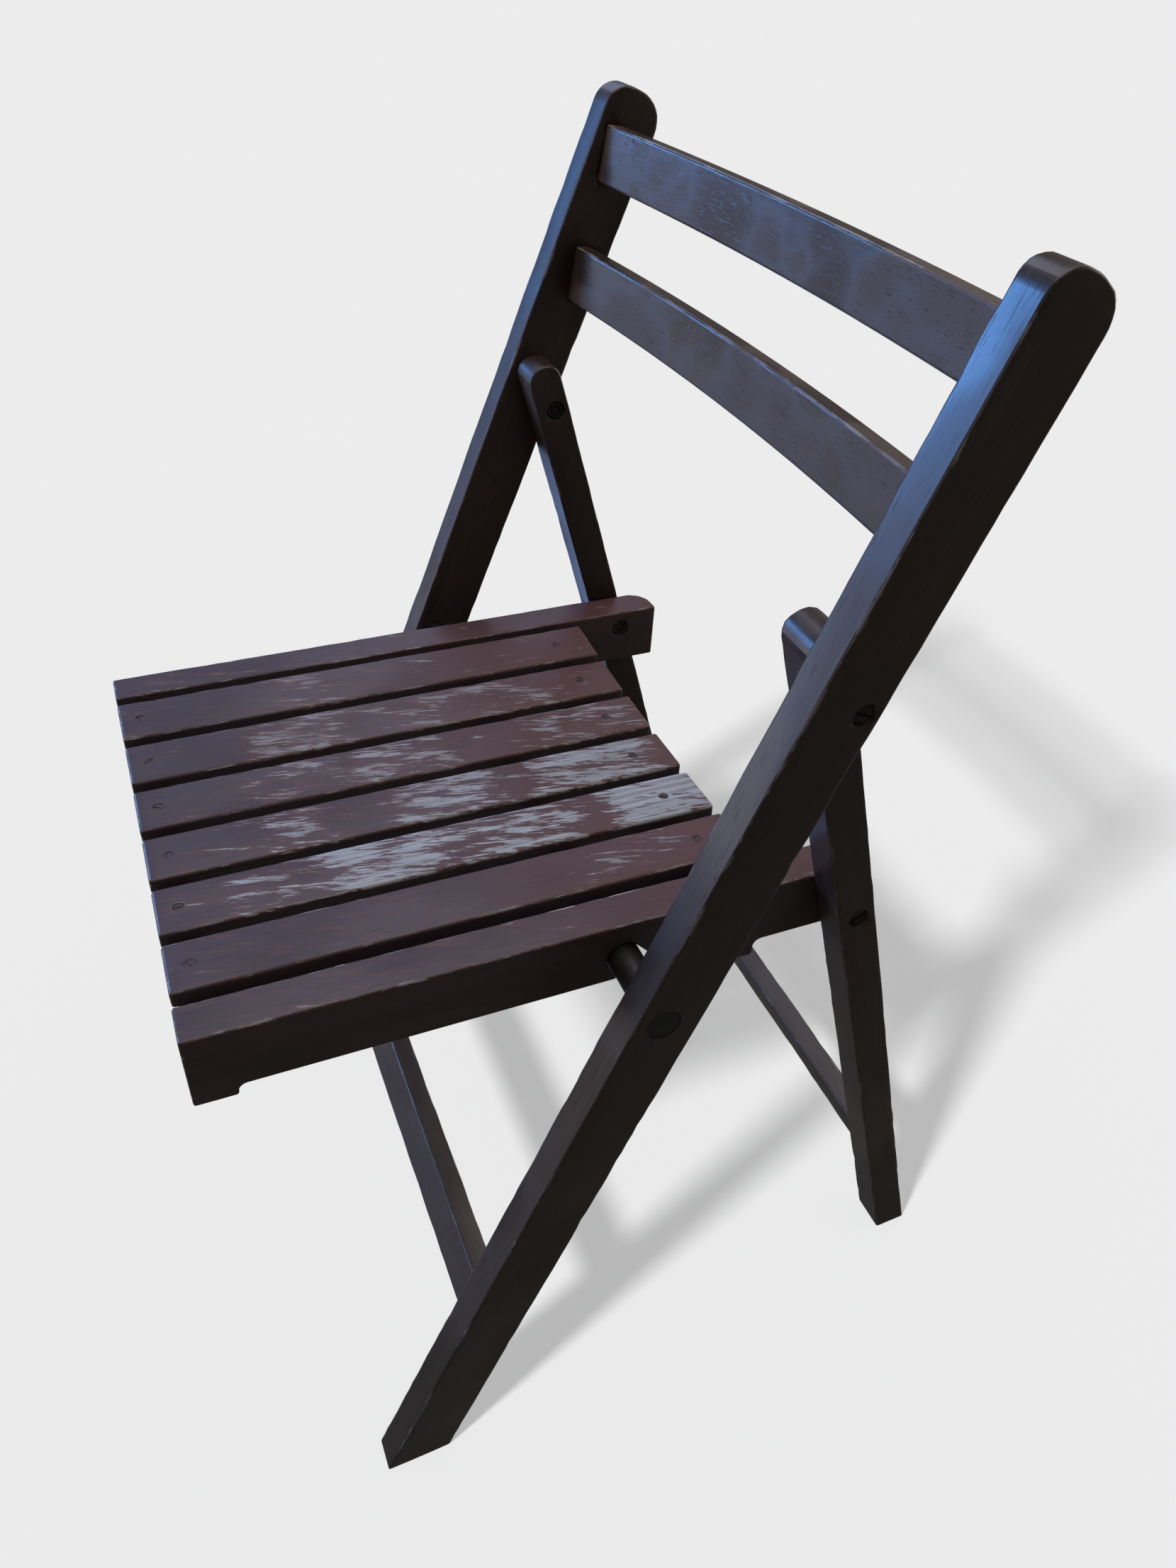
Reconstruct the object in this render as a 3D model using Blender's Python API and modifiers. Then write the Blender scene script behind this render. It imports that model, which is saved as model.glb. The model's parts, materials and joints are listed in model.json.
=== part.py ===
"""Slatted wooden folding chair, built from its separate boards and fasteners.

Metres, +Z up, floor at Z = 0, the sitter faces -Y and +X is the sitter's left.
The long rails carry the back and the front feet, the rear legs hang on the
leg pivot, and the seat hangs on the rear legs and rests on a round bar.
"""
import math

import bpy
import bmesh
from mathutils import Matrix, Vector

# overall
WIDTH = 0.458
GAP = 0.0003
EDGE = 0.0018

# long rails: front foot, back upright
RAIL_T = 0.023
RAIL_W = 0.042
RAIL_LEN = 0.8585
RAIL_LEAN = math.radians(25.3)
RAIL_TIP_FRONT = 0.0155
RAIL_TIP_REAR = 0.0205

# rear legs
LEG_T = 0.028
LEG_W = 0.0248
LEG_LEN = 0.621
LEG_LEAN = math.radians(12.8)
LEG_FOOT_Y = 0.4232
LEG_TIP = 0.0115
LEG_SIDE_GAP = 0.0016

# seat, measured from the top front edge of its side rails
SEAT_Y = -0.0379
SEAT_Z = 0.4379
SEAT_PITCH = math.radians(-3.76)
SEAT_SIDE_GAP = 0.0014
SIDE_T = 0.026
SIDE_DEPTH = 0.0438
SIDE_LEN = 0.4154
SIDE_CORNER = 0.020
TOE_LEN = 0.0242
TOE_DEPTH = 0.0512
HEEL_END = 0.3351
HEEL_DEPTH = 0.0560
HEEL_SLOPE = math.radians(42.0)
LIP_SLOPE = math.radians(26.0)
FILLET = 0.005
SLAT_COUNT = 6
SLAT_W = 0.0403
SLAT_T = 0.0115
SLAT_LEN = 0.3450
DISH = 0.0055
DISH_RISE = 0.0012

# battens under the slats
BATTEN_T = 0.020
BATTEN_FRONT_A = 0.0135
BATTEN_REAR_A = 0.3160
BATTEN_DROP = 0.042

# back slats, bowed to the rear
BACK_BOW = 0.0120
BACK_T = 0.0128
BACK_TENON = 0.008
BACK_UPPER = (0.8151, 0.0099, 0.0354, math.radians(13.0))
BACK_LOWER = (0.7385, 0.0197, 0.0363, math.radians(13.3))

# stretchers: bottom edge along the board, inset from its front, height, thickness
FRONT_STRETCHER = (0.1456, 0.0126, 0.0331, 0.0169)
REAR_STRETCHER = (0.0968, 0.0041, 0.0272, 0.0166)
TENON_LEN = 0.014
TENON_SHOULDER = 0.004

# pivots, in the long rail's and the leg's own coordinates
PIVOT_RAIL = (0.6515, 0.0314)
BAR_RAIL = (0.4457, 0.0173)
BAR_R = 0.010
SEAT_PIVOT = (0.3457, 0.3982)

# fasteners
SHANK_R = 0.0032
HEAD_R = 0.0062
HEAD_H = 0.0032
HEAD_SINK = 0.0012
NUT_R = 0.0062
NUT_H = 0.0042
NUT_SINK = 0.0012
WASHER_R = 0.0085
SCREW_HEAD_R = 0.0032
SCREW_R = 0.0014
SCREW_LEN = 0.026
SCREW_SINK = 0.0004
SCREW_FRONT_A = 0.0135
SCREW_REAR_A = 0.3180

HALF = WIDTH / 2
RAIL_IN = HALF - RAIL_T
LEG_OUT = RAIL_IN - LEG_SIDE_GAP
LEG_IN = LEG_OUT - LEG_T
SEAT_OUT = LEG_IN - SEAT_SIDE_GAP
SEAT_IN = SEAT_OUT - SIDE_T
SLAT_GAP = (2 * SEAT_IN - SLAT_COUNT * SLAT_W) / (SLAT_COUNT + 1)

REAR_MOST = LEG_FOOT_Y + LEG_W / math.cos(LEG_LEAN)
FRONT_MOST = SEAT_Y + TOE_DEPTH * math.sin(SEAT_PITCH)
MID_Y = 0.5 * (REAR_MOST + FRONT_MOST)

COLOURS = {
    "wood_dark": ((0.060, 0.032, 0.022), 0.42, 0.0),
    "wood_seat": ((0.085, 0.050, 0.036), 0.50, 0.0),
    "wood_back": ((0.070, 0.038, 0.026), 0.40, 0.0),
    "steel_aged": ((0.120, 0.110, 0.100), 0.45, 0.9),
}


def clear_scene():
    for obj in list(bpy.data.objects):
        bpy.data.objects.remove(obj, do_unlink=True)


def new_collection(name):
    coll = bpy.data.collections.new(name)
    bpy.context.scene.collection.children.link(coll)
    return coll


def material(name, look):
    rgb, rough, metal = COLOURS[look]
    mat = bpy.data.materials.new(name)
    mat.use_nodes = True
    shader = mat.node_tree.nodes["Principled BSDF"]
    shader.inputs["Base Color"].default_value = (*rgb, 1.0)
    shader.inputs["Roughness"].default_value = rough
    shader.inputs["Metallic"].default_value = metal
    mat.diffuse_color = (*rgb, 1.0)
    return mat


def board_frame(x, y, z, turn):
    """Local X runs to the rear, local Y up the board, local Z along world X."""
    axes = Matrix(((0, 0, 1, 0), (1, 0, 0, 0), (0, 1, 0, 0), (0, 0, 0, 1)))
    return Matrix.Translation((x, y, z)) @ Matrix.Rotation(turn, 4, "X") @ axes


def rail_frame(x):
    return board_frame(x, -MID_Y, 0.0, -RAIL_LEAN)


def leg_frame(x):
    return board_frame(x, LEG_FOOT_Y - MID_Y, 0.0, LEG_LEAN)


def seat_frame(x):
    return board_frame(x, SEAT_Y - MID_Y, SEAT_Z, SEAT_PITCH)


def rail_point(u, v, x=0.0):
    return rail_frame(x) @ Vector((v, u, 0.0))


def leg_point(u, v, x=0.0):
    return leg_frame(x) @ Vector((v, u, 0.0))


def seat_point(a, b, x=0.0):
    return seat_frame(x) @ Vector((a, -b, 0.0))


def arc(cx, cy, radius, start, stop, steps):
    points = []
    for i in range(steps + 1):
        t = math.radians(start + (stop - start) * i / steps)
        points.append((cx + radius * math.cos(t), cy + radius * math.sin(t)))
    return points


def place(obj, matrix, coll, mat=None):
    obj.matrix_world = matrix
    coll.objects.link(obj)
    if mat is not None:
        obj.data.materials.clear()
        obj.data.materials.append(mat)
    return obj


def outline_mesh(name, points, thickness):
    """A flat outline of the given thickness, centred on its own plane."""
    curve = bpy.data.curves.new(name, "CURVE")
    curve.dimensions = "2D"
    curve.fill_mode = "BOTH"
    curve.extrude = thickness / 2
    spline = curve.splines.new("POLY")
    spline.points.add(len(points) - 1)
    for target, (px, py) in zip(spline.points, points):
        target.co = (px, py, 0.0, 1.0)
    spline.use_cyclic_u = True
    temp = bpy.data.objects.new(name, curve)
    bpy.context.scene.collection.objects.link(temp)
    graph = bpy.context.evaluated_depsgraph_get()
    mesh = bpy.data.meshes.new_from_object(temp.evaluated_get(graph))
    bpy.data.objects.remove(temp, do_unlink=True)
    bm = bmesh.new()
    bm.from_mesh(mesh)
    bmesh.ops.remove_doubles(bm, verts=bm.verts, dist=0.00001)
    bmesh.ops.dissolve_limit(bm, angle_limit=0.002, verts=bm.verts, edges=bm.edges)
    bmesh.ops.recalc_face_normals(bm, faces=bm.faces)
    bm.to_mesh(mesh)
    bm.free()
    mesh.name = name
    return mesh


def outline_board(name, points, thickness, matrix, coll, mat=None):
    obj = bpy.data.objects.new(name, outline_mesh(name, points, thickness))
    return place(obj, matrix, coll, mat)


def box_mesh(name, size):
    mesh = bpy.data.meshes.new(name)
    bm = bmesh.new()
    bmesh.ops.create_cube(bm, size=1.0)
    bmesh.ops.scale(bm, vec=size, verts=bm.verts)
    bm.to_mesh(mesh)
    bm.free()
    return mesh


def cylinder_mesh(name, radius, depth, sides):
    mesh = bpy.data.meshes.new(name)
    bm = bmesh.new()
    bmesh.ops.create_cone(bm, cap_ends=True, segments=sides, radius1=radius,
                          radius2=radius, depth=depth)
    bm.to_mesh(mesh)
    bm.free()
    return mesh


def smooth_round(mesh):
    mesh.shade_smooth()
    mesh.set_sharp_from_angle(angle=math.radians(35))


def turned(name, profile, closed, steps, matrix, coll, mat=None):
    """A profile of (radius, height) pairs turned about its own Z axis."""
    mesh = bpy.data.meshes.new(name)
    verts = [(r, 0.0, h) for r, h in profile]
    edges = [(i, i + 1) for i in range(len(verts) - 1)]
    if closed:
        edges.append((len(verts) - 1, 0))
    mesh.from_pydata(verts, edges, [])
    obj = place(bpy.data.objects.new(name, mesh), matrix, coll, mat)
    screw = obj.modifiers.new("Turn", "SCREW")
    screw.steps = steps
    screw.render_steps = steps
    screw.use_merge_vertices = True
    screw.merge_threshold = 0.00001
    screw.use_normal_calculate = False
    return obj


def round_edges(obj, width=EDGE, segments=2):
    bevel = obj.modifiers.new("Round", "BEVEL")
    bevel.width = width
    bevel.segments = segments
    bevel.limit_method = "ANGLE"
    bevel.angle_limit = math.radians(40)


def cut(obj, cutter, operation="DIFFERENCE"):
    mod = obj.modifiers.new("Cut", "BOOLEAN")
    mod.operation = operation
    mod.solver = "EXACT"
    mod.object = cutter


def hide_cutter(obj):
    obj.hide_render = True
    obj.display_type = "WIRE"
    return obj


def across(point, x, side=1):
    """Local Z along world X, pointing outwards on the given side."""
    turn = Matrix.Rotation(math.radians(90 * side), 4, "Y")
    return Matrix.Translation((x, point.y, point.z)) @ turn


def bore(name, radius, x0, x1, point, coll, sides=20):
    mesh = cylinder_mesh(name, radius, abs(x1 - x0), sides)
    obj = bpy.data.objects.new(name, mesh)
    place(obj, across(point, (x0 + x1) / 2), coll)
    return hide_cutter(obj)


def rail_outline():
    tan = math.tan(RAIL_LEAN)
    front = arc(RAIL_TIP_FRONT, RAIL_LEN - RAIL_TIP_FRONT, RAIL_TIP_FRONT, 90, 180, 7)
    rear_c = RAIL_W - RAIL_TIP_REAR
    rear = arc(rear_c, RAIL_LEN - RAIL_TIP_REAR, RAIL_TIP_REAR, 0, 90, 8)
    return [(0.0, 0.0), (RAIL_W, RAIL_W * tan)] + rear + front


def leg_outline():
    tan = math.tan(LEG_LEAN)
    rear = arc(LEG_W - LEG_TIP, LEG_LEN - LEG_TIP, LEG_TIP, 0, 90, 4)
    front = arc(LEG_TIP, LEG_LEN - LEG_TIP, LEG_TIP, 90, 180, 4)
    return [(0.0, 0.0), (LEG_W, -LEG_W * tan)] + rear + front


def bar_in_seat():
    """The round bar's centre as distances along and below the seat top."""
    local = seat_frame(0.0).inverted() @ rail_point(*BAR_RAIL)
    return local.x, -local.y


def side_outline():
    """Side view of a seat side rail: toe, lipped bar notch, sloped heel, tail."""
    ba, bb = bar_in_seat()
    r = BAR_R + GAP + 0.0001
    slope = math.degrees(HEEL_SLOPE)
    start = (ba + r * math.cos(HEEL_SLOPE), -bb + r * math.sin(HEEL_SLOPE))
    run = (HEEL_DEPTH + start[1]) * math.tan(HEEL_SLOPE)
    points = [(0.0, 0.0), (0.0, -TOE_DEPTH), (TOE_LEN, -TOE_DEPTH)]
    points += arc(TOE_LEN + FILLET, -SIDE_DEPTH - FILLET, FILLET, 180, 90, 4)
    lip = (ba - r * math.cos(LIP_SLOPE), -bb - r * math.sin(LIP_SLOPE))
    points += [(lip[0] + (SIDE_DEPTH + lip[1]) * math.tan(LIP_SLOPE), -SIDE_DEPTH)]
    points += arc(ba, -bb, r, 180 + math.degrees(LIP_SLOPE), slope, 12)
    points += [(start[0] + run, -HEEL_DEPTH), (HEEL_END, -HEEL_DEPTH)]
    points += arc(HEEL_END + FILLET, -SIDE_DEPTH - FILLET, FILLET, 180, 90, 4)
    points += [(SIDE_LEN, -SIDE_DEPTH), (SIDE_LEN, 0.0)]
    return points


def bowed_outline(half_len, depth, offset, steps=14):
    """Plan view of a slat bowed to the rear between the two rails."""
    front = []
    for i in range(steps + 1):
        x = -half_len + 2 * half_len * i / steps
        front.append((x, BACK_BOW * (1 - (x / RAIL_IN) ** 2)))
    lower = [(x, y - offset) for x, y in front]
    upper = [(x, y + depth + offset) for x, y in reversed(front)]
    return lower + upper


def dish(x):
    """How far a slat's top lies below the side rails' tops at x."""
    return DISH * (1 - (x / SEAT_IN) ** 2) - DISH_RISE


def batten_outline(steps=12):
    half = SEAT_IN - GAP
    top = []
    for i in range(steps + 1):
        x = half - 2 * half * i / steps
        top.append((x, -dish(x) - SLAT_T - 0.0006))
    return [(-half, -BATTEN_DROP), (half, -BATTEN_DROP)] + top


def lateral_frame(origin, turn):
    """Local X along world X, local Y up the board, local Z to the front."""
    axes = Matrix.Rotation(math.radians(90), 4, "X")
    return Matrix.Translation(origin) @ Matrix.Rotation(turn, 4, "X") @ axes


def plan_frame(origin, turn):
    """Local X along world X, local Y to the rear, local Z up the board."""
    return Matrix.Translation(origin) @ Matrix.Rotation(turn, 4, "X")


def stretcher(name, spec, half, frame_point, turn, coll, cutters, mat):
    """A board between two rails with a shouldered tenon at each end."""
    u0, v0, height, depth = spec
    frame = lateral_frame(frame_point(u0 + height / 2, v0 + depth / 2), turn)
    size = (2 * (half - GAP), height, depth)
    board = place(bpy.data.objects.new(name, box_mesh(name, size)), frame, coll, mat)
    round_edges(board, 0.0012)
    tall = height - 2 * TENON_SHOULDER
    thick = depth - 2 * TENON_SHOULDER
    size = (2 * (half + TENON_LEN), tall, thick)
    tongue = bpy.data.objects.new(name + "_tongue", box_mesh(name, size))
    place(tongue, frame, cutters)
    cut(board, hide_cutter(tongue), "UNION")
    size = (2 * (half + TENON_LEN + GAP), tall + 2 * GAP, thick + 2 * GAP)
    pocket = bpy.data.objects.new(name + "_pocket", box_mesh(name, size))
    place(pocket, frame, cutters)
    return board, hide_cutter(pocket)


def back_slat(name, spec, coll, cutters, mat):
    u, v, height, tilt = spec
    half = RAIL_IN + BACK_TENON
    frame = plan_frame(rail_point(u, v), tilt - RAIL_LEAN)
    slat = outline_board(name, bowed_outline(half, BACK_T, 0.0), height,
                         frame, coll, mat)
    round_edges(slat, 0.0020)
    pocket = outline_board(name + "_pocket", bowed_outline(half + GAP, BACK_T, GAP),
                           height + 2 * GAP, frame, cutters)
    return slat, hide_cutter(pocket)


def bolt(name, length, matrix, coll, mat):
    edge = 0.0006
    profile = [(0.0, 0.0), (HEAD_R - 2 * edge, 0.0), (HEAD_R, -edge),
               (HEAD_R, -HEAD_H), (SHANK_R, -HEAD_H),
               (SHANK_R, -length + edge), (SHANK_R - edge, -length), (0.0, -length)]
    obj = turned(name, profile, False, 20, matrix, coll, mat)
    smooth_round(obj.data)
    return obj


def nut(name, matrix, coll, cutters, mat):
    """A six-sided nut whose outer face lies at the frame's origin."""
    mesh = cylinder_mesh(name, NUT_R, NUT_H, 6)
    shift = Matrix.Translation((0.0, 0.0, -NUT_H / 2))
    obj = place(bpy.data.objects.new(name, mesh), matrix @ shift, coll, mat)
    hole = bpy.data.objects.new(name + "_hole",
                                cylinder_mesh(name, SHANK_R + GAP, 0.05, 20))
    place(hole, matrix, cutters)
    cut(obj, hide_cutter(hole))
    return obj


def washer(name, thickness, matrix, coll, mat):
    half = thickness / 2
    inner = SHANK_R + GAP
    profile = [(WASHER_R, half), (WASHER_R, -half), (inner, -half), (inner, half)]
    return turned(name, profile, True, 20, matrix, coll, mat)


def pivot_set(prefix, side, point, outer, inner, rim, boards, colls, mat, parents):
    """Bolt, nut and washer on one pivot; boards are cut for all of them.

    outer is the face that takes the head, inner the face that takes the nut
    and rim the (low, high) gap between the two boards.
    """
    coll, cutters = colls
    suffix = "left" if side > 0 else "right"
    head_x = outer - HEAD_SINK
    nut_x = inner + NUT_SINK
    length = head_x - nut_x - 0.0004
    head_at = across(point, side * head_x, side)
    fixed = bolt(prefix + "_bolt_" + suffix, length, head_at, coll, mat)
    nut_at = across(point, side * nut_x, -side)
    held = nut(prefix + "_nut_" + suffix, nut_at, coll, cutters, mat)
    low, high = rim
    mid = across(point, side * (low + high) / 2, side)
    ring = washer(prefix + "_washer_" + suffix, high - low - 2 * GAP, mid, coll, mat)
    for obj, owner in zip((fixed, held, ring), parents):
        keep_parent(obj, owner)
    hole = bore(prefix + "_bore", SHANK_R + GAP, side * (outer + 0.01),
                side * (inner - 0.01), point, cutters)
    sink = HEAD_SINK + HEAD_H + GAP
    head_hole = bore(prefix + "_head_sink", HEAD_R + 0.0006,
                     side * (outer + 0.01), side * (outer - sink), point, cutters)
    depth = NUT_SINK + NUT_H + GAP
    nut_hole = bore(prefix + "_nut_sink", NUT_R + 0.0008,
                    side * (inner - 0.01), side * (inner + depth), point, cutters)
    cut(boards[0], hole)
    cut(boards[0], head_hole)
    cut(boards[1], hole)
    cut(boards[1], nut_hole)


def screw_profile(grow):
    """Flat-headed screw: head, cone and shank below Z = 0."""
    head = SCREW_HEAD_R + grow
    shank = SCREW_R + grow
    top = 0.004 if grow else 0.0
    return [(0.0, top), (head, top), (head, -0.0006 - grow),
            (shank, -0.0030 - grow), (shank, -SCREW_LEN - grow),
            (0.0, -SCREW_LEN - grow)]


def keep_parent(obj, empty):
    obj.parent = empty
    obj.matrix_parent_inverse = empty.matrix_world.inverted()


def pivot_empty(name, point, coll):
    empty = bpy.data.objects.new(name, None)
    empty.empty_display_size = 0.05
    coll.objects.link(empty)
    empty.location = (0.0, point.y, point.z)
    empty.matrix_world = Matrix.Translation((0.0, point.y, point.z))
    return empty


def build_front(colls, root):
    coll, cutters = colls
    rails = {}
    for side, suffix in ((1, "left"), (-1, "right")):
        name = "long_rail_" + suffix
        frame = rail_frame(side * (RAIL_IN + RAIL_T / 2))
        rails[side] = outline_board(name, rail_outline(), RAIL_T, frame, coll,
                                    material(name, "wood_dark"))
        round_edges(rails[side])
    pieces = list(rails.values())
    for name, spec in (("back_slat_upper", BACK_UPPER), ("back_slat_lower", BACK_LOWER)):
        slat, pocket = back_slat(name, spec, coll, cutters, material(name, "wood_back"))
        pieces.append(slat)
        for rail in rails.values():
            cut(rail, pocket)
    board, pocket = stretcher("front_stretcher", FRONT_STRETCHER, RAIL_IN, rail_point,
                              -RAIL_LEAN, coll, cutters,
                              material("front_stretcher", "wood_dark"))
    cut(rails[1], pocket)
    cut(rails[-1], pocket)
    pieces.append(board)
    centre = rail_point(*BAR_RAIL)
    bar = bpy.data.objects.new("seat_support_bar",
                               cylinder_mesh("seat_support_bar", BAR_R,
                                             WIDTH - 0.0006, 32))
    place(bar, across(centre, 0.0), coll, material("seat_support_bar", "wood_dark"))
    smooth_round(bar.data)
    pieces.append(bar)
    hole = bore("bar_hole", BAR_R + GAP, -HALF - 0.02, HALF + 0.02, centre, cutters, 32)
    for rail in rails.values():
        cut(rail, hole)
    for obj in pieces:
        keep_parent(obj, root)
    return rails


def build_rear(colls, root):
    coll, cutters = colls
    legs = {}
    for side, suffix in ((1, "left"), (-1, "right")):
        name = "rear_leg_" + suffix
        frame = leg_frame(side * (LEG_IN + LEG_T / 2))
        legs[side] = outline_board(name, leg_outline(), LEG_T, frame, coll,
                                   material(name, "wood_dark"))
        round_edges(legs[side])
    board, pocket = stretcher("rear_stretcher", REAR_STRETCHER, LEG_IN, leg_point,
                              LEG_LEAN, coll, cutters,
                              material("rear_stretcher", "wood_dark"))
    cut(legs[1], pocket)
    cut(legs[-1], pocket)
    for obj in list(legs.values()) + [board]:
        keep_parent(obj, root)
    return legs


def corner_cutter(side, cutters):
    """Cuts the rounded rear outer corner of a seat side rail, in plan."""
    out = SEAT_OUT
    rear = SIDE_LEN
    r = SIDE_CORNER
    far = 0.01
    points = [(side * x, a) for x, a in arc(out - r, rear - r, r, 0, 90, 8)]
    points += [(side * (out - r), rear + far), (side * (out + far), rear + far),
               (side * (out + far), rear - r)]
    frame = seat_frame(0.0) @ board_frame(0, 0, 0, 0).inverted()
    obj = outline_board("tail_corner", points, 0.2, frame, cutters)
    return hide_cutter(obj)


def build_side_rails(colls, root):
    coll, cutters = colls
    sides = {}
    for side, suffix in ((1, "left"), (-1, "right")):
        name = "seat_side_rail_" + suffix
        frame = seat_frame(side * (SEAT_IN + SIDE_T / 2))
        obj = outline_board(name, side_outline(), SIDE_T, frame, coll,
                            material(name, "wood_seat"))
        round_edges(obj, 0.0015)
        cut(obj, corner_cutter(side, cutters))
        keep_parent(obj, root)
        sides[side] = obj
    return sides


def slat_matrix(index):
    """Centre of a slat on the dished seat, tilted to follow the dish."""
    left = -SEAT_IN + SLAT_GAP + index * (SLAT_W + SLAT_GAP)
    right = left + SLAT_W
    low, high = dish(left), dish(right)
    tilt = math.atan2(high - low, SLAT_W)
    drop = 0.5 * (low + high) + 0.5 * SLAT_T
    frame = seat_frame(0.0) @ board_frame(0, 0, 0, 0).inverted()
    shift = Matrix.Translation(((left + right) / 2, SLAT_LEN / 2, -drop))
    return frame @ shift @ Matrix.Rotation(tilt, 4, "Y")


def build_slats(colls, root):
    coll = colls[0]
    slats = []
    for i in range(SLAT_COUNT):
        name = "seat_slat_%d" % (i + 1)
        mesh = box_mesh(name, (SLAT_W, SLAT_LEN, SLAT_T))
        obj = place(bpy.data.objects.new(name, mesh), slat_matrix(i), coll,
                    material(name, "wood_seat"))
        round_edges(obj, 0.0020)
        keep_parent(obj, root)
        slats.append(obj)
    return slats


def build_battens(colls, root):
    battens = []
    for name, a in (("seat_batten_front", BATTEN_FRONT_A), ("seat_batten_rear", BATTEN_REAR_A)):
        frame = lateral_frame(seat_point(a, 0.0), SEAT_PITCH)
        obj = outline_board(name, batten_outline(), BATTEN_T, frame, colls[0],
                            material(name, "wood_seat"))
        round_edges(obj, 0.0012, 1)
        keep_parent(obj, root)
        battens.append(obj)
    return battens


def build_screws(colls, slats, battens, root):
    coll, cutters = colls
    rows = (("front", SCREW_FRONT_A, battens[0]), ("rear", SCREW_REAR_A, battens[1]))
    for row, a, batten in rows:
        for i, slat in enumerate(slats):
            name = "slat_screw_%s_%d" % (row, i + 1)
            shift = Matrix.Translation((0.0, a - SLAT_LEN / 2, SLAT_T / 2 - SCREW_SINK))
            at = slat_matrix(i) @ shift
            obj = turned(name, screw_profile(0.0), False, 12, at, coll,
                         material(name, "steel_aged"))
            smooth_round(obj.data)
            hole = turned(name + "_hole", screw_profile(GAP), False, 12, at, cutters)
            cut(slat, hide_cutter(hole))
            cut(batten, hole)
            keep_parent(obj, root)


def build_pivots(colls, rails, legs, sides, empties):
    front, rear, seat = empties
    leg_pivot = rail_point(*PIVOT_RAIL)
    seat_pivot = Vector((0.0, SEAT_PIVOT[0] - MID_Y, SEAT_PIVOT[1]))
    for side, suffix in ((1, "left"), (-1, "right")):
        steel = material("leg_pivot_" + suffix, "steel_aged")
        pivot_set("leg_pivot", side, leg_pivot, HALF, LEG_IN, (LEG_OUT, RAIL_IN),
                  (rails[side], legs[side]), colls, steel, (front, front, front))
        steel = material("seat_pivot_" + suffix, "steel_aged")
        pivot_set("seat_pivot", side, seat_pivot, LEG_OUT, SEAT_IN, (SEAT_OUT, LEG_IN),
                  (legs[side], sides[side]), colls, steel, (rear, rear, rear))


def main():
    clear_scene()
    coll = new_collection("slatted_folding_chair")
    cutters = new_collection("cutters")
    colls = (coll, cutters)
    leg_pivot = rail_point(*PIVOT_RAIL)
    front = pivot_empty("front_frame_root", Vector((0.0, 0.0, 0.0)), coll)
    rear = pivot_empty("rear_frame_pivot", leg_pivot, coll)
    seat_at = Vector((0.0, SEAT_PIVOT[0] - MID_Y, SEAT_PIVOT[1]))
    seat = pivot_empty("seat_pivot_axis", seat_at, coll)
    keep_parent(rear, front)
    keep_parent(seat, rear)
    bpy.context.view_layer.update()
    rails = build_front(colls, front)
    legs = build_rear(colls, rear)
    sides = build_side_rails(colls, seat)
    slats = build_slats(colls, seat)
    battens = build_battens(colls, seat)
    build_pivots(colls, rails, legs, sides, (front, rear, seat))
    build_screws(colls, slats, battens, seat)
    bpy.context.view_layer.update()


main()
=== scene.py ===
"""Looks of the slatted folding chair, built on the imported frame."""
import json
import math

import bmesh
import bpy
from mathutils import Matrix, Vector, noise

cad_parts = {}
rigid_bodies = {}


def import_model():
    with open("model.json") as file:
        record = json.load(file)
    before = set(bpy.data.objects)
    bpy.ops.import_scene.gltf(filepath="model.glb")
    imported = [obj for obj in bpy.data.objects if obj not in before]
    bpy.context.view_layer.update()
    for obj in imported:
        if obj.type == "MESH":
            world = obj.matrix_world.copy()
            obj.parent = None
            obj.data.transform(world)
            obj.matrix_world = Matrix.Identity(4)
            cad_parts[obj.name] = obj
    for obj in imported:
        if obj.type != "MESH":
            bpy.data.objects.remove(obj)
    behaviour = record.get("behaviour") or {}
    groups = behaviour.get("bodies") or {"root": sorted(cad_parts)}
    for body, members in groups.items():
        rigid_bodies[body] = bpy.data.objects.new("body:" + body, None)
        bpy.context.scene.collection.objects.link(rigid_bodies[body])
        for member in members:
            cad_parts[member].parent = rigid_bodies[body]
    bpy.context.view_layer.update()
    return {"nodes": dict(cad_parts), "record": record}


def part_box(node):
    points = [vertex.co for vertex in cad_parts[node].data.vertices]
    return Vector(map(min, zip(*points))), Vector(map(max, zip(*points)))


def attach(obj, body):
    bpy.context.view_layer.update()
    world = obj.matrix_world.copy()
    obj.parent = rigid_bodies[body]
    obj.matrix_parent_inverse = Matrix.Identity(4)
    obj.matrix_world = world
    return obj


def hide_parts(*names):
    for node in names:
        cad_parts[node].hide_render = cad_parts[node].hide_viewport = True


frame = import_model()
NODES = frame["nodes"]
BODY_OF = {}
for body, members in frame["record"]["behaviour"]["bodies"].items():
    for member in members:
        BODY_OF[member] = body
SLOT_OF = {s["node"]: s["material_slot"] for s in frame["record"]["subparts"]}

# angles and sizes of the modelled boards, in metres
RAIL_LEAN = math.radians(25.3)
LEG_LEAN = math.radians(12.8)
SEAT_PITCH = math.radians(-3.76)
SEAT_HALF = 0.149
SEAT_CROWN = 0.0055
SLAT_GAP = 0.00803
SLAT_WIDTH = 0.0403
SLAT_LEN = 0.3450
BACK_UPPER_TILT = math.radians(13.0)
BACK_LOWER_TILT = math.radians(13.3)
BACK_T = 0.0128
BACK_BOW = 0.0120
RAIL_INSIDE = 0.206

WELD = 1e-6  # points closer than this are one point
SHARP_ANGLE = math.radians(46)
RUB_STEP = 0.008  # spacing of the cuts across a rubbed board
RUB_REACH = 0.0036  # how far from an arris its points still sink
RUB_SEAT = 0.00030
RUB_FRAME = 0.00045
FLAKE_SKEW = math.radians(12.0)
BACKDROP = 0.838  # linear grey of the pale surroundings

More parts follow.
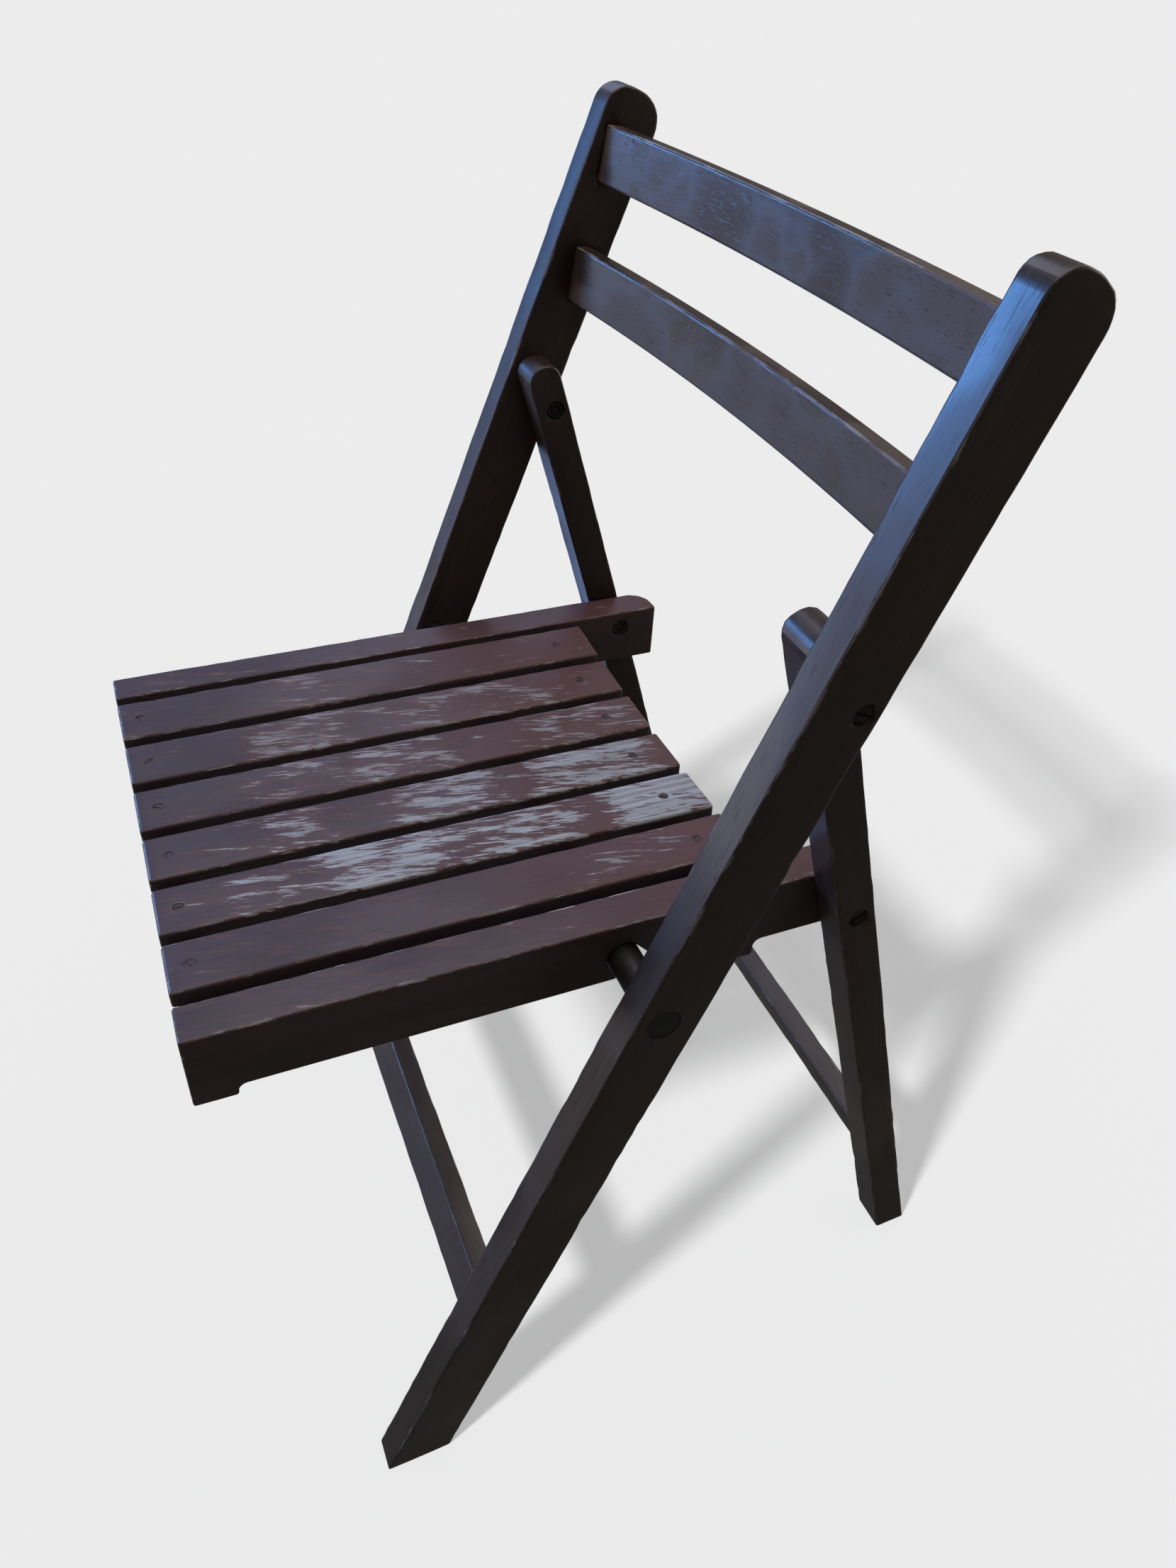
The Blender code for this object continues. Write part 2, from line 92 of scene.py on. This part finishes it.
COLLECTION = bpy.data.collections.new("chair_looks")
bpy.context.scene.collection.children.link(COLLECTION)


# ---------------------------------------------------------------- geometry

def refined_copy(node):
    """The node's shape with welded points, flat faces merged and soft edges."""
    source = NODES[node]
    bm = bmesh.new()
    bm.from_mesh(source.data)
    bmesh.ops.remove_doubles(bm, verts=bm.verts, dist=WELD)
    bmesh.ops.dissolve_limit(bm, angle_limit=0.004, verts=bm.verts, edges=bm.edges)
    mesh = bpy.data.meshes.new(node + "_skin")
    bm.to_mesh(mesh)
    bm.free()
    mesh.shade_smooth()
    mesh.set_sharp_from_angle(angle=SHARP_ANGLE)
    obj = bpy.data.objects.new(node + "_skin", mesh)
    COLLECTION.objects.link(obj)
    return obj


def rub_edges(obj, centre, turn, half, seed, depth):
    """Cuts the board across at even steps and sinks its arrises unevenly."""
    rotation = turn.to_matrix()
    inverse = rotation.transposed()
    along = rotation @ Vector((0.0, 1.0, 0.0))
    bm = bmesh.new()
    bm.from_mesh(obj.data)
    count = int(2 * half[1] / RUB_STEP)
    for i in range(1, count):
        at = centre + along * (half[1] * (2.0 * i / count - 1.0))
        bmesh.ops.bisect_plane(bm, geom=bm.verts[:] + bm.edges[:] + bm.faces[:],
                               dist=WELD, plane_co=at, plane_no=along)
    for vert in bm.verts:
        local = inverse @ (vert.co - centre)
        gaps = sorted((half[i] - abs(local[i]), i) for i in range(3))
        if gaps[1][0] > RUB_REACH:
            continue
        place = Vector((local.x * 60.0, local.y * 45.0, local.z * 60.0 + seed))
        chip = max(0.0, noise.noise(place * 2.1) - 0.15) * 1.6
        sink = depth * (0.35 + 0.65 * noise.noise(place) + chip)
        sink = min(max(sink, 0.0), depth * 1.5)
        for gap, axis in gaps[:2]:
            local[axis] -= math.copysign(sink, local[axis])
        vert.co = centre + rotation @ local
    bm.to_mesh(obj.data)
    bm.free()
    obj.data.shade_smooth()
    obj.data.set_sharp_from_angle(angle=SHARP_ANGLE)


def adopt(obj, node):
    """Makes obj stand for a CAD node and move with that node's body."""
    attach(obj, BODY_OF[node])
    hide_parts(node)


def carve(obj, size, matrix):
    """Cuts a box out of obj and keeps the result as its mesh."""
    cutter_mesh = bpy.data.meshes.new("slot_cut")
    bm = bmesh.new()
    bmesh.ops.create_cube(bm, size=1.0)
    bmesh.ops.scale(bm, vec=size, verts=bm.verts)
    bm.transform(matrix)
    bm.to_mesh(cutter_mesh)
    bm.free()
    cutter = bpy.data.objects.new("slot_cut", cutter_mesh)
    COLLECTION.objects.link(cutter)
    mod = obj.modifiers.new("slot", "BOOLEAN")
    mod.operation = "DIFFERENCE"
    mod.object = cutter
    graph = bpy.context.evaluated_depsgraph_get()
    mesh = bpy.data.meshes.new_from_object(obj.evaluated_get(graph))
    obj.modifiers.remove(mod)
    obj.data = mesh
    bpy.data.objects.remove(cutter)


def soften(obj):
    """Shades the rounded edges by the large flat faces beside them."""
    mod = obj.modifiers.new("normals", "WEIGHTED_NORMAL")
    mod.keep_sharp = True
    mod.weight = 60


# ---------------------------------------------------------------- materials

class Tree:
    """Small helper that adds nodes to a tree and wires them by name."""

    def __init__(self, tree):
        self.tree = tree

    def add(self, kind, inputs=(), **settings):
        node = self.tree.nodes.new(kind)
        for key, value in settings.items():
            setattr(node, key, value)
        for key, value in dict(inputs).items():
            self.feed(node.inputs[key], value)
        return node

    def feed(self, socket, value):
        if isinstance(value, bpy.types.NodeSocket):
            self.tree.links.new(value, socket)
        else:
            socket.default_value = value

    def math(self, operation, a, b=0.0, clamp=False):
        node = self.add("ShaderNodeMath", {0: a, 1: b}, operation=operation,
                        use_clamp=clamp)
        return node.outputs[0]

    def vector(self, operation, a, b):
        node = self.add("ShaderNodeVectorMath", {0: a, 1: b}, operation=operation)
        return node.outputs[0]

    def noise(self, vector, scale, detail=4.0, rough=0.55):
        node = self.add("ShaderNodeTexNoise", {"Vector": vector, "Scale": scale,
                                               "Detail": detail, "Roughness": rough})
        return node.outputs["Fac"]

    def ramp(self, value, low, high, to_low=0.0, to_high=1.0):
        node = self.add("ShaderNodeMapRange",
                        {"Value": value, "From Min": low, "From Max": high,
                         "To Min": to_low, "To Max": to_high})
        node.interpolation_type = "SMOOTHSTEP"
        node.clamp = True
        return node.outputs["Result"]

    def mix(self, factor, a, b):
        node = self.add("ShaderNodeMix", data_type="RGBA")
        self.feed(node.inputs["Factor"], factor)
        self.feed(node.inputs[6], a)
        self.feed(node.inputs[7], b)
        return node.outputs[2]


def rgba(colour):
    return (*colour, 1.0)


def new_material(name):
    """A node material, its tree helper and its shader."""
    mat = bpy.data.materials.new(name)
    mat.use_nodes = True
    return mat, Tree(mat.node_tree), mat.node_tree.nodes["Principled BSDF"]


def wood_material(name, centre, turn, half, seed, look):
    """Painted board: grain along local Y, rubbed arrises and flaked patches.

    centre and turn give the board's own frame, half its half sizes, and look its
    colours and wear.
    """
    mat, t, shader = new_material(name)
    coords = t.add("ShaderNodeTexCoord").outputs["Object"]
    local = t.add("ShaderNodeMapping", {"Vector": coords, "Location": centre,
                                        "Rotation": turn}, vector_type="TEXTURE")
    local = local.outputs["Vector"]
    split = t.add("ShaderNodeSeparateXYZ", {0: local})
    across, along, thick = (split.outputs[axis] for axis in "XYZ")
    if look["bow"]:
        # a bowed board: its depth is taken from its own curved middle line
        curve = t.math("SUBTRACT", half[1] ** 2, t.math("MULTIPLY", along, along))
        thick = t.math("ADD", thick, t.math("MULTIPLY", curve, look["bow"]))
        thick = t.math("ADD", thick, BACK_T / 2 - half[2])
        half = (half[0], half[1], BACK_T / 2)
    shift = (0.731 * seed, 1.37 * seed, 0.517 * seed)
    place = t.vector("ADD", local, shift)

    wander = t.noise(t.vector("MULTIPLY", place, (5.0, 1.3, 5.0)), 1.0, 2.0)
    bent = t.vector("MULTIPLY", (0.016, 0.0, 0.016), wander)
    place = t.vector("ADD", place, bent)
    broad = t.noise(t.vector("MULTIPLY", place, (40.0, 1.6, 40.0)), 1.0, 4.0, 0.6)
    fine = t.noise(t.vector("MULTIPLY", place, (420.0, 7.0, 420.0)), 1.0, 5.0, 0.65)
    pore = t.noise(t.vector("MULTIPLY", place, (1500.0, 60.0, 1500.0)), 1.0, 2.0, 0.5)
    blotch = t.noise(t.vector("MULTIPLY", place, look["blotch_scale"]), 1.0, 2.0, 0.45)
    speck = t.noise(place, 1100.0, 3.0, 0.7)

    tone = t.mix(t.ramp(broad, 0.30, 0.70), rgba(look["dark"]), rgba(look["mid"]))
    tone = t.mix(t.math("MULTIPLY", t.ramp(fine, 0.50, 0.74), look["grain"]), tone,
                 rgba(look["light"]))
    stain = t.ramp(blotch, *look["stain_at"])
    tone = t.mix(t.math("MULTIPLY", stain, look["blotch"]), tone, rgba(look["stain"]))
    deep = t.ramp(pore, 0.60, 0.72)
    tone = t.mix(t.math("MULTIPLY", deep, 0.6), tone, rgba(look["pore"]))

    # rubbed arrises: distance to the nearest edge of the board's own box
    gaps = [t.math("SUBTRACT", size, t.math("ABSOLUTE", value))
            for value, size in zip((across, along, thick), half)]
    low = t.math("MINIMUM", gaps[0], gaps[1])
    high = t.math("MAXIMUM", gaps[0], gaps[1])
    near = t.math("MINIMUM", t.math("MAXIMUM", low, gaps[2]), high)
    rub = t.noise(t.vector("MULTIPLY", place, (150.0, 30.0, 150.0)), 1.0, 5.0, 0.7)
    reach = t.ramp(rub, 0.42, 0.70, 0.0004, look["rub"])
    edge = t.ramp(t.math("DIVIDE", near, reach), 0.60, 1.0, 1.0, 0.0)
    edge = t.math("MULTIPLY", edge, t.ramp(rub, 0.34, 0.54))
    edge = t.math("MULTIPLY", edge, look["edge"])

    worn = edge
    pale = t.mix(t.ramp(fine, 0.36, 0.62), rgba(look["bare_dark"]),
                 rgba(look["bare_light"]))
    # dry pale streaks along the grain
    dry = t.noise(t.vector("MULTIPLY", place, (260.0, 9.0, 260.0)), 1.0, 5.0, 0.68)
    dry = t.math("MULTIPLY", t.ramp(dry, 0.50, 0.72), t.ramp(blotch, 0.40, 0.62))
    tone = t.mix(t.math("MULTIPLY", dry, look["haze"]), tone, rgba(look["dust"]))
    if look["patches"]:
        # flaked patches, with the flakes a little askew to the board
        askew = t.add("ShaderNodeVectorRotate", {"Vector": place, "Angle": FLAKE_SKEW},
                      rotation_type="Z_AXIS").outputs["Vector"]
        flake = t.noise(t.vector("MULTIPLY", askew, (640.0, 60.0, 640.0)), 1.0, 6.0, 0.62)
        cloud = t.noise(t.vector("MULTIPLY", askew, (130.0, 26.0, 130.0)), 1.0, 3.0, 0.5)
        reach = 0.0
        for at, span, weight in look["patches"]:
            away = t.math("ABSOLUTE", t.math("SUBTRACT", along, at))
            away = t.math("DIVIDE", away, span)
            reach = t.math("MAXIMUM", reach, t.ramp(away, 0.35, 1.25, weight, 0.0))
        amount = t.math("ADD", t.math("MULTIPLY", flake, 0.60),
                        t.math("MULTIPLY", cloud, 0.44))
        amount = t.math("ADD", amount, t.math("MULTIPLY", reach, 0.21))
        top = t.ramp(thick, half[2] - 0.0032, half[2] - 0.0012)
        bare = t.ramp(amount, 0.660, 0.692, 0.0, look["bare"])
        bare = t.math("MULTIPLY", bare, top)
        # paint thinned to a redder brown around the flaked places and to the rear
        rear = t.ramp(along, -0.12, 0.17, 0.0, 0.75)
        thin = t.math("MAXIMUM", t.ramp(amount, 0.54, 0.68, 0.0, 0.85), rear)
        tone = t.mix(t.math("MULTIPLY", thin, top), tone, rgba(look["thin"]))
        worn = t.math("MAXIMUM", edge, bare, True)
    tone = t.mix(worn, tone, pale)
    tone = t.mix(t.math("MULTIPLY", t.ramp(speck, 0.60, 0.80), 0.15), tone,
                 rgba(look["dust"]))

    rough = t.ramp(t.math("ADD", t.math("MULTIPLY", fine, 0.15),
                          t.math("MULTIPLY", blotch, 0.85)), 0.35, 0.65,
                   look["rough"] - 0.08, look["rough"] + 0.12)
    rough = t.math("ADD", rough, t.math("MULTIPLY", worn, 0.25))
    rough = t.math("ADD", rough, t.math("MULTIPLY", stain, look["matt"]))
    rough = t.math("ADD", rough, t.math("MULTIPLY", deep, 0.10), True)

    height = t.math("MULTIPLY", fine, 0.45)
    height = t.math("ADD", height, t.math("MULTIPLY", broad, 0.7))
    height = t.math("ADD", height, t.math("MULTIPLY", speck, 0.08))
    height = t.math("SUBTRACT", height, t.math("MULTIPLY", deep, 0.5))
    height = t.math("SUBTRACT", height, t.math("MULTIPLY", worn, 0.5))
    dent = t.ramp(t.noise(place, 55.0, 1.0, 0.4), 0.70, 0.78)
    height = t.math("SUBTRACT", height, t.math("MULTIPLY", dent, 0.8))
    bump = t.add("ShaderNodeBump", {"Height": height, "Strength": 0.5,
                                    "Distance": 0.00030})

    t.feed(shader.inputs["Base Color"], tone)
    t.feed(shader.inputs["Roughness"], rough)
    t.feed(shader.inputs["Normal"], bump.outputs["Normal"])
    shader.inputs["Specular IOR Level"].default_value = look["spec"]
    shader.inputs["Coat Weight"].default_value = look["coat"]
    shader.inputs["Coat Roughness"].default_value = look["coat_rough"]
    return mat


FRAME_LOOK = {
    "dark": (0.022, 0.0135, 0.011), "mid": (0.040, 0.023, 0.018),
    "light": (0.066, 0.040, 0.032), "pore": (0.010, 0.006, 0.0055),
    "stain": (0.060, 0.036, 0.024), "thin": (0.06, 0.03, 0.024),
    "dust": (0.095, 0.092, 0.098), "grain": 0.4, "blotch": 0.5, "haze": 0.30,
    "edge": 0.70, "rub": 0.0028, "bare": 1.0, "patches": (), "matt": 0.12, "bow": 0.0,
    "blotch_scale": (18.0, 9.0, 18.0), "stain_at": (0.44, 0.60),
    "bare_dark": (0.12, 0.10, 0.09), "bare_light": (0.22, 0.205, 0.195),
    "rough": 0.38, "spec": 0.42, "coat": 0.25, "coat_rough": 0.25,
}
SEAT_LOOK = dict(FRAME_LOOK, dark=(0.056, 0.034, 0.037), mid=(0.078, 0.046, 0.049),
                 light=(0.098, 0.062, 0.062), pore=(0.034, 0.020, 0.020),
                 stain=(0.062, 0.044, 0.052), thin=(0.132, 0.058, 0.050),
                 dust=(0.14, 0.13, 0.14), bare_dark=(0.265, 0.258, 0.255),
                 bare_light=(0.43, 0.445, 0.46), grain=0.4, rough=0.46,
                 coat=0.12, coat_rough=0.34, edge=0.6, rub=0.0022, haze=0.12)
BACK_LOOK = dict(FRAME_LOOK, dark=(0.040, 0.026, 0.020), mid=(0.056, 0.036, 0.030),
                 light=(0.085, 0.060, 0.052), stain=(0.105, 0.072, 0.053), matt=0.30,
                 blotch_scale=(20.0, 15.0, 20.0), stain_at=(0.45, 0.57),
                 blotch=0.85, rough=0.30, haze=0.30, coat=0.18, coat_rough=0.20,
                 edge=0.75, rub=0.0018, bow=BACK_BOW / RAIL_INSIDE ** 2,
                 bare_dark=(0.18, 0.16, 0.15), bare_light=(0.34, 0.32, 0.30))


def board_turn(lean):
    """Local Y up the board in the side plane, local Z along world X."""
    up = Vector((0.0, -math.sin(lean), math.cos(lean)))
    thick = Vector((1.0, 0.0, 0.0))
    across = up.cross(thick)
    return Matrix((across, up, thick)).transposed().to_euler()


def lateral_turn(lean):
    """Local Y along world X, local Z the board's front normal."""
    up = Vector((0.0, -math.sin(lean), math.cos(lean)))
    length = Vector((1.0, 0.0, 0.0))
    front = up.cross(length) * -1.0
    across = length.cross(front)
    return Matrix((across, length, front)).transposed().to_euler()


def slat_turn(tilt):
    """Local X across the slat, local Y front to back, local Z up."""
    m = Matrix.Rotation(SEAT_PITCH, 4, "X") @ Matrix.Rotation(tilt, 4, "Y")
    return m.to_euler()


def node_centre(node):
    """The middle of the node's box."""
    low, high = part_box(node)
    return (low + high) / 2


def extents_in(node, centre, turn):
    """Half sizes of the node along its board axes, and its true centre."""
    inverse = turn.to_matrix().transposed()
    points = [inverse @ (v.co - centre) for v in NODES[node].data.vertices]
    low = [min(p[i] for p in points) for i in range(3)]
    high = [max(p[i] for p in points) for i in range(3)]
    half = [(b - a) / 2 for a, b in zip(low, high)]
    middle = Vector([(a + b) / 2 for a, b in zip(low, high)])
    return half, centre + turn.to_matrix() @ middle


# flaked stretches of each slat: middle and half length as shares of it, and strength
SLAT_PATCHES = {
    1: ((0.36, 0.09, 0.42), (0.70, 0.25, 0.20)),
    2: ((0.31, 0.14, 0.58), (0.70, 0.30, 0.50)),
    3: ((0.29, 0.13, 0.42), (0.50, 0.14, 0.60), (0.87, 0.17, 0.56)),
    4: ((0.28, 0.13, 0.46), (0.54, 0.14, 0.70), (0.83, 0.18, 0.86)),
    5: ((0.18, 0.10, 0.50), (0.38, 0.15, 0.84), (0.64, 0.16, 0.74), (0.92, 0.15, 1.06)),
    6: ((0.10, 0.06, 0.20), (0.78, 0.14, 0.42)),
}
# how far the paint is gone in a slat's flakes
SLAT_BARE = {1: 0.50, 2: 0.55, 3: 0.70, 4: 0.90, 5: 1.0, 6: 0.55}


def board_material(piece, node, seed):
    """Rubs the board's arrises where it has any, and makes its paint."""
    name = "wood_" + node
    if node.startswith("seat_slat_"):
        index = int(node[-1])
        x_left = -SEAT_HALF + SLAT_GAP + (index - 1) * (SLAT_WIDTH + SLAT_GAP)
        rise = [SEAT_CROWN * (1 - (x / SEAT_HALF) ** 2)
                for x in (x_left, x_left + SLAT_WIDTH)]
        turn = slat_turn(math.atan2(rise[1] - rise[0], SLAT_WIDTH))
        patches = [(SLAT_LEN * (at - 0.5), SLAT_LEN * span, weight)
                   for at, span, weight in SLAT_PATCHES[index]]
        look = dict(SEAT_LOOK, patches=patches, bare=SLAT_BARE[index])
    elif node.startswith("seat_side"):
        turn = slat_turn(0.0)
        look = dict(SEAT_LOOK, patches=((0.0, 0.3, 0.12),), bare=0.4)
    elif node.startswith("long_rail"):
        turn = board_turn(-RAIL_LEAN)
        look = FRAME_LOOK
    elif node.startswith("rear_leg"):
        turn = board_turn(LEG_LEAN)
        look = FRAME_LOOK
    elif node == "rear_stretcher":
        turn = lateral_turn(LEG_LEAN)
        look = FRAME_LOOK
    elif node.startswith("back_slat"):
        tilt = BACK_UPPER_TILT if "upper" in node else BACK_LOWER_TILT
        turn = lateral_turn(tilt - RAIL_LEAN)
        look = BACK_LOOK
    elif node.startswith("seat_batten"):
        turn = lateral_turn(SEAT_PITCH)
        look = dict(FRAME_LOOK, edge=0.2)
    else:
        turn = lateral_turn(-RAIL_LEAN)
        # painted light: these other cross pieces get a brighter copy of the frame's paint,
        # which stands in for light falling on them
        look = dict(FRAME_LOOK, dark=(0.050, 0.034, 0.030), mid=(0.075, 0.052, 0.044),
                    light=(0.11, 0.08, 0.066))
        if node == "seat_support_bar":
            # painted shade: the support bar under the seat gets a much darker copy of the
            # frame's paint, without rubbed arrises, which stands in for the shade it sits
            # in
            look = dict(FRAME_LOOK, mid=(0.016, 0.012, 0.013), light=(0.026, 0.020, 0.020),
                        dark=(0.010, 0.008, 0.008), stain=(0.018, 0.013, 0.013),
                        edge=0.0, haze=0.06, rough=0.50, coat=0.1)
    half, centre = extents_in(node, node_centre(node), turn)
    if not node.startswith(("back_slat", "seat_support_bar", "seat_batten")):
        depth = RUB_SEAT if node.startswith("seat") else RUB_FRAME
        rub_edges(piece, centre, turn, half, seed, depth)
    return wood_material(name, tuple(centre), tuple(turn), half, seed, look)


def steel_material(name, dark, light, rough, metal):
    """Dull, slightly rusted steel; a low metal value is a painted-over head."""
    mat, t, shader = new_material(name)
    coords = t.add("ShaderNodeTexCoord").outputs["Object"]
    spots = t.noise(coords, 420.0, 5.0, 0.7)
    cloud = t.noise(coords, 110.0, 3.0, 0.5)
    tone = t.mix(t.ramp(spots, 0.40, 0.65), rgba(dark), rgba(light))
    rust = t.ramp(cloud, 0.50, 0.68)
    tone = t.mix(t.math("MULTIPLY", rust, 0.6 * metal), tone, rgba((0.07, 0.032, 0.018)))
    t.feed(shader.inputs["Base Color"], tone)
    t.feed(shader.inputs["Roughness"],
           t.ramp(spots, 0.3, 0.7, rough - 0.08, rough + 0.18))
    t.feed(shader.inputs["Metallic"], t.ramp(rust, 0.0, 1.0, metal, 0.4 * metal))
    bump = t.add("ShaderNodeBump", {"Height": spots, "Strength": 0.4,
                                    "Distance": 0.0001})
    t.feed(shader.inputs["Normal"], bump.outputs["Normal"])
    return mat


# ---------------------------------------------------------------- the chair

def screw_slot(piece, node):
    """A driver slot across a slat screw's head."""
    low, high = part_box(node)
    tilt = Matrix.Rotation(SEAT_PITCH, 4, "X")
    turn = Matrix.Rotation(0.7 * len(node) + 1.9 * int(node[-1]), 4, "Z")
    top = Vector(((low.x + high.x) / 2, (low.y + high.y) / 2 - 0.0008, high.z - 0.0003))
    carve(piece, (0.0008, 0.0064, 0.0008), Matrix.Translation(top) @ tilt @ turn)


def bolt_slot(piece, node):
    """A driver slot across a pivot bolt's head, on its outer side."""
    low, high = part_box(node)
    side = 1 if node.endswith("left") else -1
    outer = high.x if side > 0 else low.x
    at = Vector((outer - side * 0.0005, (low.y + high.y) / 2, (low.z + high.z) / 2))
    turn = Matrix.Rotation(0.9 + len(node), 4, "X")
    carve(piece, (0.0018, 0.0014, 0.0130), Matrix.Translation(at) @ turn)


STEEL = steel_material("steel_pivots", (0.020, 0.016, 0.015), (0.048, 0.040, 0.036),
                       0.45, 0.60)
SCREW_STEEL = steel_material("steel_screws", (0.060, 0.037, 0.040),
                             (0.084, 0.053, 0.056), 0.50, 0.05)

for number, node in enumerate(sorted(NODES)):
    piece = refined_copy(node)
    if node.startswith("slat_screw"):
        screw_slot(piece, node)
    if "_bolt_" in node:
        bolt_slot(piece, node)
    soften(piece)
    if SLOT_OF[node] == "aged_steel":
        mat = SCREW_STEEL if node.startswith("slat_screw") else STEEL
    else:
        mat = board_material(piece, node, 1.0 + number * 0.61)
    piece.data.materials.clear()
    piece.data.materials.append(mat)
    adopt(piece, node)


# ---------------------------------------------------------------- the studio

def floor_material():
    """Pale painted floor; part of its light is its own, so shadows stay soft."""
    mat, t, shader = new_material("studio_floor")
    coords = t.add("ShaderNodeTexCoord").outputs["Object"]
    soft = t.noise(coords, 1.5, 3.0, 0.5)
    t.feed(shader.inputs["Base Color"],
           t.mix(soft, rgba((0.795, 0.795, 0.795)), rgba((0.805, 0.805, 0.805))))
    shader.inputs["Roughness"].default_value = 0.95
    shader.inputs["Specular IOR Level"].default_value = 0.0
    shader.inputs["Emission Color"].default_value = rgba((0.988, 1.0, 1.013))
    shader.inputs["Emission Strength"].default_value = 0.419
    return mat


def backdrop_material():
    """Even pale surroundings that give off their own light."""
    mat, _, shader = new_material("studio_backdrop")
    shader.inputs["Base Color"].default_value = rgba((0.0, 0.0, 0.0))
    shader.inputs["Specular IOR Level"].default_value = 0.0
    shader.inputs["Emission Color"].default_value = rgba((1.0, 1.0, 1.0))
    shader.inputs["Emission Strength"].default_value = BACKDROP
    return mat


def stage_piece(name, bm, material):
    """A floor or backdrop, seen by the camera and lighting nothing."""
    mesh = bpy.data.meshes.new(name)
    bm.to_mesh(mesh)
    bm.free()
    obj = bpy.data.objects.new(name, mesh)
    bpy.context.scene.collection.objects.link(obj)
    mesh.materials.append(material)
    obj.visible_diffuse = False
    obj.visible_glossy = False
    obj.visible_transmission = False
    obj.visible_shadow = False
    return obj


def make_stage():
    disc = bmesh.new()
    bmesh.ops.create_circle(disc, cap_ends=True, segments=96, radius=40.0)
    floor = stage_piece("studio_floor", disc, floor_material())
    dome = bmesh.new()
    bmesh.ops.create_uvsphere(dome, u_segments=64, v_segments=32, radius=39.5)
    bmesh.ops.reverse_faces(dome, faces=dome.faces)
    stage_piece("studio_backdrop", dome, backdrop_material())
    return floor


def light_object(name, data, at, aim, colour, watts, receivers):
    """A lamp that lights only the given objects."""
    data.energy = watts
    data.color = colour
    obj = bpy.data.objects.new(name, data)
    bpy.context.scene.collection.objects.link(obj)
    obj.location = at
    obj.rotation_euler = (Vector(aim) - Vector(at)).to_track_quat("-Z", "Y").to_euler()
    obj.visible_camera = False
    group = bpy.data.collections.new(name + "_lights")
    for receiver in receivers:
        group.objects.link(receiver)
    obj.light_linking.receiver_collection = group
    return obj


def panel(name, at, aim, size, watts, colour, receivers):
    data = bpy.data.lights.new(name, "AREA")
    data.shape = "RECTANGLE"
    data.size, data.size_y = size
    return light_object(name, data, at, aim, colour, watts, receivers)


def make_light(floor, chair):
    world = bpy.data.worlds.new("studio")
    bpy.context.scene.world = world
    world.use_nodes = True
    back = world.node_tree.nodes["Background"]
    back.inputs["Color"].default_value = (1.0, 0.95, 0.89, 1.0)
    back.inputs["Strength"].default_value = 0.105

    sun = bpy.data.lights.new("floor_sun", "SUN")
    sun.angle = math.radians(6.0)
    heading, height = math.radians(117.0), math.radians(46.0)
    away = Vector((-math.cos(heading) * math.cos(height),
                   -math.sin(heading) * math.cos(height), math.sin(height)))
    light_object("floor_sun", sun, away * 4.0, (0, 0, 0), (1.0, 1.0, 1.0), 1.86, [floor])

    panel("overhead", (-0.2, 0.2, 2.6), (0.0, 0.0, 0.3), (2.2, 2.2), 28.0,
          (1.0, 0.92, 0.90), chair)
    panel("cool_window", (-2.42, -1.97, 1.62), (0.0, 0.0, 0.62), (1.3, 1.0), 73.0,
          (0.14, 0.40, 1.0), chair)
    panel("cool_side", (-2.3, 0.5, 2.2), (0.0, 0.0, 0.4), (1.6, 1.6), 13.0,
          (0.50, 0.62, 1.0), chair)
    panel("low_cool", (-1.7, 0.25, -1.0), (0.0, 0.0, 0.55), (1.6, 1.2), 5.0,
          (0.26, 0.46, 1.0), chair)
    panel("front_fill", (-1.3, -2.3, 0.36), (0.0, 0.0, 0.45), (2.6, 1.6), 25.0,
          (0.80, 0.82, 1.0), chair)
    panel("rear_fill", (-0.5, 2.7, 0.9), (0.0, 0.0, 0.40), (2.2, 1.8), 26.0,
          (1.0, 0.95, 0.92), chair)


def make_camera():
    azimuth, elevation, roll = (math.radians(a) for a in (68.333, 39.579, -1.217))
    ahead = Vector((-math.sin(azimuth) * math.cos(elevation),
                    math.cos(azimuth) * math.cos(elevation), -math.sin(elevation)))
    right = ahead.cross(Vector((0.0, 0.0, 1.0))).normalized()
    up = right.cross(ahead)
    turned_right = math.cos(roll) * right + math.sin(roll) * up
    turned_up = math.cos(roll) * up - math.sin(roll) * right
    data = bpy.data.cameras.new("camera")
    data.sensor_fit = "AUTO"
    data.sensor_width = 36.0
    data.lens = 36.0 * 1664.22 / 2212.0
    obj = bpy.data.objects.new("camera", data)
    bpy.context.scene.collection.objects.link(obj)
    basis = Matrix((turned_right, turned_up, -ahead)).transposed().to_4x4()
    obj.matrix_world = Matrix.Translation((0.59902, -0.18633, 0.91006)) @ basis
    bpy.context.scene.camera = obj


studio_floor = make_stage()
make_light(studio_floor, list(COLLECTION.objects))
make_camera()
bpy.context.scene.view_settings.view_transform = "Standard"
